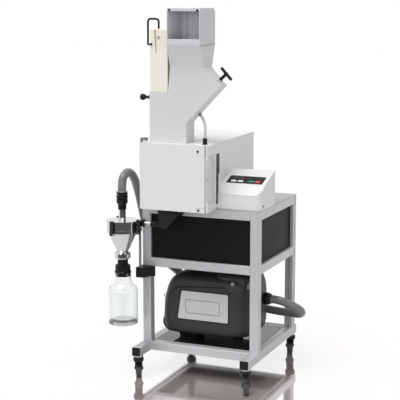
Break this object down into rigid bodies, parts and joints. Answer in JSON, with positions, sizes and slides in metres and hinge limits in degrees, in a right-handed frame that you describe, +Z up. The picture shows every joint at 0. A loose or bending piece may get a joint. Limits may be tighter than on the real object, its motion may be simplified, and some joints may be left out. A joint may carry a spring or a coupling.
{
  "type": "cutting mill",
  "caption": "Floor-standing cutting mill on a wheeled profile frame, with feed hopper and plunger, front door, control box, cyclone with sample bottle, and suction unit on the shelf.",
  "frame": {"origin": "on the floor under the middle of the machine, hoses and cables left out", "axes": "+X to the operator's right, +Y to the back, +Z up; the door faces -Y"},
  "size_m": [0.813, 0.7561, 1.672],
  "materials": {
    "anodised": "satin",
    "black_plastic": "matte",
    "black_rubber": "matte",
    "cast_motor": "matte",
    "chrome": "polished",
    "clear_glass": "gloss",
    "cream_plastic": "satin",
    "dark_panel": "gloss",
    "green_key": "matte",
    "grey_cable": "matte",
    "grey_hose": "matte",
    "hard_steel": "ground",
    "light_panel": "satin",
    "panel_foil": "matte",
    "red_key": "matte",
    "steel": "brushed",
    "unit_plate": "satin",
    "unit_shell": "satin",
    "unit_switch": "matte",
    "wheel_grey": "matte",
    "white_key": "matte",
    "white_paint": "satin"
  },
  "bodies": {
    "base": {"base_frame": "anodised", "bottom_sieve": "steel", "cable_gland": "black_plastic", "castor_heads": "chrome", "chamber_housing": "white_paint", "control_box": "white_paint", "cover_panels": "dark_panel", "cutting_bars": "hard_steel", "cyclone_body": "steel", "cyclone_lid": "steel", "deck_plate": "light_panel", "door_hinges": "white_paint", "drive_motor": "cast_motor", "hose_coupling": "black_rubber", "hose_port": "unit_shell", "jar_adapter": "black_rubber", "key_panel": "panel_foil", "outlet_funnel": "black_plastic", "outlet_pipe": "steel", "posts": "anodised", "rail_end_caps": "black_plastic", "rear_housing": "white_paint", "rod_bracket": "black_plastic", "sensor_cable": "grey_cable", "shelf_plate": "dark_panel", "suction_head": "unit_shell", "suction_hose": "grey_hose", "suction_plate": "unit_plate", "suction_tank": "unit_shell", "support_rod": "steel", "tilt_hinge": "steel", "upper_rails": "anodised"},
    "fork_front_left": {"castor_fork_front_left": "chrome"},
    "fork_front_right": {"castor_fork_front_right": "chrome"},
    "fork_rear_left": {"castor_fork_rear_left": "chrome"},
    "fork_rear_right": {"castor_fork_rear_right": "chrome"},
    "wheel_front_left": {"castor_wheel_front_left": "wheel_grey"},
    "wheel_front_right": {"castor_wheel_front_right": "wheel_grey"},
    "wheel_rear_left": {"castor_wheel_rear_left": "wheel_grey"},
    "wheel_rear_right": {"castor_wheel_rear_right": "wheel_grey"},
    "rotor_unit": {"rotor": "steel", "cutting_tips": "hard_steel"},
    "door": {"front_door": "white_paint"},
    "latch": {"door_latch": "black_plastic"},
    "start_button": {"start_key": "green_key"},
    "stop_button": {"stop_key": "red_key"},
    "menu_button_left": {"menu_key_left": "white_key"},
    "menu_button_right": {"menu_key_right": "white_key"},
    "hopper": {"hopper_body": "white_paint", "feed_hood": "white_paint"},
    "plunger_unit": {"plunger": "cream_plastic", "plunger_handle": "black_plastic"},
    "knob": {"lock_knob": "black_plastic"},
    "t_screw": {"t_handle": "black_plastic"},
    "lid_clamp_1": {"lid_latch_1": "steel"},
    "lid_clamp_2": {"lid_latch_2": "steel"},
    "lid_clamp_3": {"lid_latch_3": "steel"},
    "bottle": {"sample_bottle": "clear_glass"},
    "switch_button": {"suction_switch": "unit_switch"},
    "unit_wheels": {"suction_wheels": "black_rubber"}
  },
  "joints": [
    {"name": "swivel_front_left", "type": "hinge", "parent": "base", "child": "fork_front_left", "pos_m": [-0.2055, -0.296, 0.102], "axis": [0, 0, 1], "continuous": true},
    {"name": "roll_front_left", "type": "hinge", "parent": "fork_front_left", "child": "wheel_front_left", "pos_m": [-0.21644, -0.27023, 0.0375], "axis": [-0.9205, -0.3907, 0], "continuous": true},
    {"name": "swivel_front_right", "type": "hinge", "parent": "base", "child": "fork_front_right", "pos_m": [0.3185, -0.296, 0.102], "axis": [0, 0, 1], "continuous": true},
    {"name": "roll_front_right", "type": "hinge", "parent": "fork_front_right", "child": "wheel_front_right", "pos_m": [0.32944, -0.32177, 0.0375], "axis": [0.9205, 0.3907, 0], "continuous": true},
    {"name": "swivel_rear_left", "type": "hinge", "parent": "base", "child": "fork_rear_left", "pos_m": [-0.2055, 0.314, 0.102], "axis": [0, 0, 1], "continuous": true},
    {"name": "roll_rear_left", "type": "hinge", "parent": "fork_rear_left", "child": "wheel_rear_left", "pos_m": [-0.21644, 0.33977, 0.0375], "axis": [-0.9205, -0.3907, 0], "continuous": true},
    {"name": "swivel_rear_right", "type": "hinge", "parent": "base", "child": "fork_rear_right", "pos_m": [0.3185, 0.314, 0.102], "axis": [0, 0, 1], "continuous": true},
    {"name": "roll_rear_right", "type": "hinge", "parent": "fork_rear_right", "child": "wheel_rear_right", "pos_m": [0.30756, 0.33977, 0.0375], "axis": [-0.9205, -0.3907, 0], "continuous": true},
    {"name": "rotor_spin", "type": "hinge", "parent": "base", "child": "rotor_unit", "pos_m": [-0.0595, -0.246, 0.933], "axis": [0, -1, 0], "continuous": true},
    {"name": "door_swing", "type": "hinge", "parent": "base", "child": "door", "pos_m": [0.1375, -0.309, 0.94], "axis": [0, 0, 1], "range_deg": [0, 120]},
    {"name": "latch_turn", "type": "hinge", "parent": "base", "child": "latch", "pos_m": [-0.1575, -0.293, 1.1], "axis": [0, 0, -1], "range_deg": [0, 90]},
    {"name": "start_press", "type": "slide", "parent": "base", "child": "start_button", "axis": [0, 0.3355, -0.942], "range_m": [0, 0.001], "stiffness_N_per_m": 400},
    {"name": "stop_press", "type": "slide", "parent": "base", "child": "stop_button", "axis": [0, 0.3355, -0.942], "range_m": [0, 0.001], "stiffness_N_per_m": 400},
    {"name": "menu_press_left", "type": "slide", "parent": "base", "child": "menu_button_left", "axis": [0, 0.3355, -0.942], "range_m": [0, 0.001], "stiffness_N_per_m": 400},
    {"name": "menu_press_right", "type": "slide", "parent": "base", "child": "menu_button_right", "axis": [0, 0.3355, -0.942], "range_m": [0, 0.001], "stiffness_N_per_m": 400},
    {"name": "hopper_tilt", "type": "hinge", "parent": "base", "child": "hopper", "pos_m": [-0.0595, -0.179, 1.1], "axis": [-1, 0, 0], "range_deg": [0, 85], "deforming": ["sensor_cable"]},
    {"name": "plunger_slide", "type": "slide", "parent": "hopper", "child": "plunger_unit", "axis": [0, 0, -1], "range_m": [0, 0.195]},
    {"name": "knob_pull", "type": "slide", "parent": "hopper", "child": "knob", "axis": [-1, 0, 0], "range_m": [0, 0.008], "stiffness_N_per_m": 600},
    {"name": "t_screw_turn", "type": "hinge", "parent": "hopper", "child": "t_screw", "pos_m": [0.16366, -0.2365, 1.3618], "axis": [0.7395, 0, 0.6731], "range_deg": [0, 180]},
    {"name": "lid_clamp_swing_1", "type": "hinge", "parent": "base", "child": "lid_clamp_1", "pos_m": [-0.29651, -0.37032, 0.674], "axis": [0.9781, -0.2079, 0], "range_deg": [0, 100]},
    {"name": "lid_clamp_swing_2", "type": "hinge", "parent": "base", "child": "lid_clamp_2", "pos_m": [-0.20369, -0.28963, 0.674], "axis": [-0.0698, 0.9976, 0], "range_deg": [0, 100]},
    {"name": "lid_clamp_swing_3", "type": "hinge", "parent": "base", "child": "lid_clamp_3", "pos_m": [-0.32999, -0.23602, 0.674], "axis": [-0.766, -0.6428, 0], "range_deg": [0, 100]},
    {"name": "bottle_turn", "type": "hinge", "parent": "base", "child": "bottle", "pos_m": [-0.2805, -0.295, 0.456], "axis": [0, 0, 1], "range_deg": [0, 360]},
    {"name": "switch_press", "type": "slide", "parent": "base", "child": "switch_button", "axis": [0, 1, 0], "range_m": [0, 0.002], "stiffness_N_per_m": 300},
    {"name": "unit_wheel_spin", "type": "hinge", "parent": "base", "child": "unit_wheels", "pos_m": [-0.1255, -0.001, 0.224], "axis": [0, 1, 0], "continuous": true}
  ]
}
